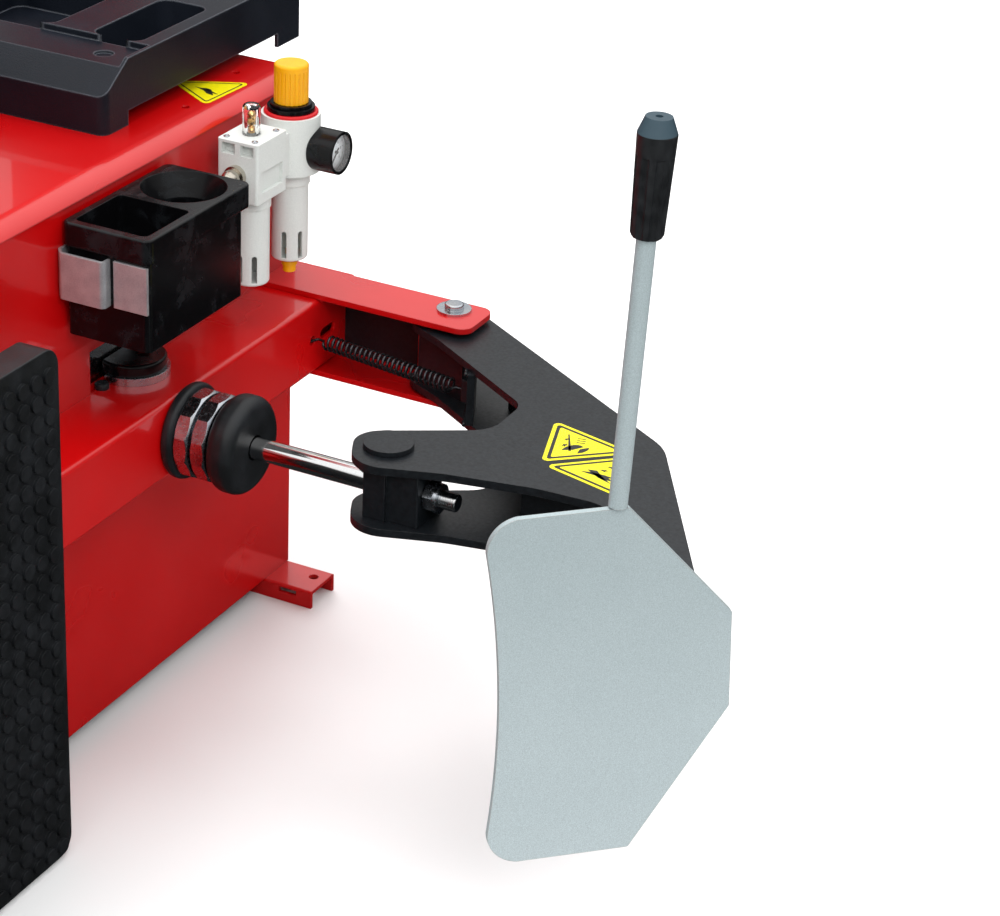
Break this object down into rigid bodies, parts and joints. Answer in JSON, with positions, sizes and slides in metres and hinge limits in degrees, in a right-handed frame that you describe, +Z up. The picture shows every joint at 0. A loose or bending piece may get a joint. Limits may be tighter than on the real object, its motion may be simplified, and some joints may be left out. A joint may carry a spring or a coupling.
{
  "type": "tire changer machine",
  "caption": "Swing-arm tire changer with a clamping turntable, tool tray, air service unit and a side bead breaker with blade, handle and rubber wheel pad.",
  "frame": {"origin": "middle of the whole machine's footprint box, on the floor", "axes": "+Z up, +X to the operator's right, towards the bead breaker, +Y to the back, towards the column"},
  "size_m": [1.3672, 1.165, 1.652],
  "materials": {
    "red_paint": "gloss",
    "black_paint": "satin",
    "zinc": "bright zinc",
    "galvanised": "speckled zinc",
    "chrome": "polished",
    "rubber": "matte",
    "black_plastic": "satin",
    "tray_plastic": "fine grain",
    "grey_casting": "satin",
    "yellow_plastic": "gloss",
    "clear_plastic": "clear",
    "nickel": "satin nickel",
    "needle_black": "matte",
    "cast_grey": "machined and painted",
    "motor_blue": "satin",
    "belt_rubber": "matte"
  },
  "bodies": {
    "frame": {"air_inlet_fitting": "nickel", "bead_cylinder_barrel": "zinc", "bearing_housing": "cast_grey", "breaker_bracket": "red_paint", "breaker_pivot_pin": "zinc", "cabinet_back_cover": "red_paint", "cabinet_shell": "red_paint", "cabinet_top_panel": "red_paint", "column": "red_paint", "cylinder_buffer": "rubber", "cylinder_flange_ring": "rubber", "cylinder_nuts": "zinc", "drive_belt": "belt_rubber", "foot_rails": "red_paint", "frame_fasteners": "zinc", "frl_body": "grey_casting", "frl_bowls": "grey_casting", "frl_bracket": "zinc", "gauge_case": "black_plastic", "gearbox": "cast_grey", "lubricator_dome": "clear_plastic", "motor": "motor_blue", "motor_bracket": "black_paint", "pad_backing_plate": "red_paint", "paste_box": "black_plastic", "paste_box_boss": "black_plastic", "paste_box_strap": "zinc", "pedal_frame": "black_paint", "regulator_lock_ring": "black_plastic", "return_spring": "black_paint", "rubber_pad": "rubber", "side_beam": "red_paint", "tool_tray": "tray_plastic"},
    "turntable": {"turntable": "cast_grey"},
    "jaw_1": {"jaw_1": "cast_grey"},
    "jaw_2": {"jaw_2": "cast_grey"},
    "jaw_3": {"jaw_3": "cast_grey"},
    "jaw_4": {"jaw_4": "cast_grey"},
    "worm_pulley": {"gearbox_pulley": "cast_grey"},
    "motor_pulley": {"motor_pulley": "cast_grey"},
    "swing_arm": {"swing_arm": "red_paint"},
    "lock_handle": {"lock_handle": "black_plastic"},
    "hex_shaft": {"hex_shaft": "chrome", "mount_head": "cast_grey"},
    "regulator_knob": {"regulator_knob": "yellow_plastic"},
    "drain_knob": {"drain_knob": "yellow_plastic"},
    "gauge_needle": {"gauge_needle": "needle_black"},
    "table_pedal": {"table_pedal": "black_paint"},
    "clamp_pedal": {"clamp_pedal": "black_paint"},
    "breaker_pedal": {"breaker_pedal": "black_paint"},
    "breaker_arm": {"breaker_arm_plates": "black_paint", "breaker_arm_webs": "black_paint"},
    "piston": {"piston_rod": "chrome", "rod_nut": "zinc"},
    "rod_block": {"rod_block": "black_paint", "rod_pin": "black_paint"},
    "blade": {"blade": "galvanised", "blade_carrier": "black_paint", "handle_tube": "galvanised", "handle_grip": "rubber"}
  },
  "joints": [
    {"name": "breaker_arm_swing", "type": "hinge", "parent": "frame", "child": "breaker_arm", "pos_m": [0.18941, 0.3805, 0.345], "axis": [0, 0, 1], "range_deg": [-19, 0], "deforming": ["return_spring"]},
    {"name": "piston_slide", "type": "slide", "parent": "frame", "child": "piston", "axis": [1, 0, 0], "range_m": [-0.0993, 0]},
    {"name": "rod_block_pivot", "type": "hinge", "parent": "breaker_arm", "child": "rod_block", "pos_m": [0.27241, 0.0905, 0.345], "axis": [0, 0, 1], "range_deg": [0, 19]},
    {"name": "blade_swivel", "type": "hinge", "parent": "breaker_arm", "child": "blade", "pos_m": [0.58486, -0.0626, 0.345], "axis": [0, 0, 1], "range_deg": [-10, 10]},
    {"name": "turntable_spin", "type": "hinge", "parent": "frame", "child": "turntable", "pos_m": [-0.34459, -0.0825, 0.67], "axis": [0, 0, 1], "continuous": true},
    {"name": "jaw_1_slide", "type": "slide", "parent": "turntable", "child": "jaw_1", "axis": [0.7071, 0.7071, 0], "range_m": [-0.04, 0.03]},
    {"name": "jaw_2_slide", "type": "slide", "parent": "turntable", "child": "jaw_2", "axis": [-0.7071, 0.7071, 0], "range_m": [-0.04, 0.03]},
    {"name": "jaw_3_slide", "type": "slide", "parent": "turntable", "child": "jaw_3", "axis": [-0.7071, -0.7071, 0], "range_m": [-0.04, 0.03]},
    {"name": "jaw_4_slide", "type": "slide", "parent": "turntable", "child": "jaw_4", "axis": [0.7071, -0.7071, 0], "range_m": [-0.04, 0.03]},
    {"name": "worm_spin", "type": "hinge", "parent": "frame", "child": "worm_pulley", "pos_m": [-0.47959, -0.0825, 0.44], "axis": [1, 0, 0], "continuous": true},
    {"name": "motor_spin", "type": "hinge", "parent": "frame", "child": "motor_pulley", "pos_m": [-0.47959, -0.0825, 0.18], "axis": [1, 0, 0], "continuous": true},
    {"name": "swing_arm_turn", "type": "hinge", "parent": "frame", "child": "swing_arm", "pos_m": [-0.34459, 0.4925, 1.44], "axis": [0, 0, 1], "range_deg": [-20, 95]},
    {"name": "hex_shaft_slide", "type": "slide", "parent": "swing_arm", "child": "hex_shaft", "axis": [0, 0, 1], "range_m": [-0.045, 0.3]},
    {"name": "lock_handle_turn", "type": "hinge", "parent": "swing_arm", "child": "lock_handle", "pos_m": [-0.42459, 0.1075, 1.4403], "axis": [1, 0, 0], "range_deg": [0, 60]},
    {"name": "regulator_knob_turn", "type": "hinge", "parent": "frame", "child": "regulator_knob", "pos_m": [0.02541, 0.3265, 0.6], "axis": [0, 0, 1], "continuous": true},
    {"name": "drain_knob_turn", "type": "hinge", "parent": "frame", "child": "drain_knob", "pos_m": [0.02541, 0.3265, 0.426], "axis": [0, 0, 1], "range_deg": [0, 90]},
    {"name": "gauge_needle_turn", "type": "hinge", "parent": "frame", "child": "gauge_needle", "pos_m": [0.07501, 0.3325, 0.555], "axis": [-1, 0, 0], "range_deg": [0, 270]},
    {"name": "table_pedal_press", "type": "hinge", "parent": "frame", "child": "table_pedal", "pos_m": [-0.49459, -0.3025, 0.1], "axis": [1, 0, 0], "range_deg": [0, 9], "stiffness_Nm_per_rad": 30, "springref_deg": -8.59},
    {"name": "clamp_pedal_press", "type": "hinge", "parent": "frame", "child": "clamp_pedal", "pos_m": [-0.34459, -0.3025, 0.1], "axis": [1, 0, 0], "range_deg": [0, 9], "stiffness_Nm_per_rad": 30, "springref_deg": -8.59},
    {"name": "breaker_pedal_press", "type": "hinge", "parent": "frame", "child": "breaker_pedal", "pos_m": [-0.19459, -0.3025, 0.1], "axis": [1, 0, 0], "range_deg": [0, 9], "stiffness_Nm_per_rad": 30, "springref_deg": -8.59}
  ],
  "couplings": [
    {"joint": "piston_slide", "follows": "breaker_arm_swing", "m_per_rad": 0.2986},
    {"joint": "rod_block_pivot", "follows": "breaker_arm_swing", "ratio": -1},
    {"joint": "jaw_2_slide", "follows": "jaw_1_slide", "ratio": 1},
    {"joint": "jaw_3_slide", "follows": "jaw_1_slide", "ratio": 1},
    {"joint": "jaw_4_slide", "follows": "jaw_1_slide", "ratio": 1},
    {"joint": "worm_spin", "follows": "turntable_spin", "ratio": 30},
    {"joint": "motor_spin", "follows": "turntable_spin", "ratio": 75}
  ]
}
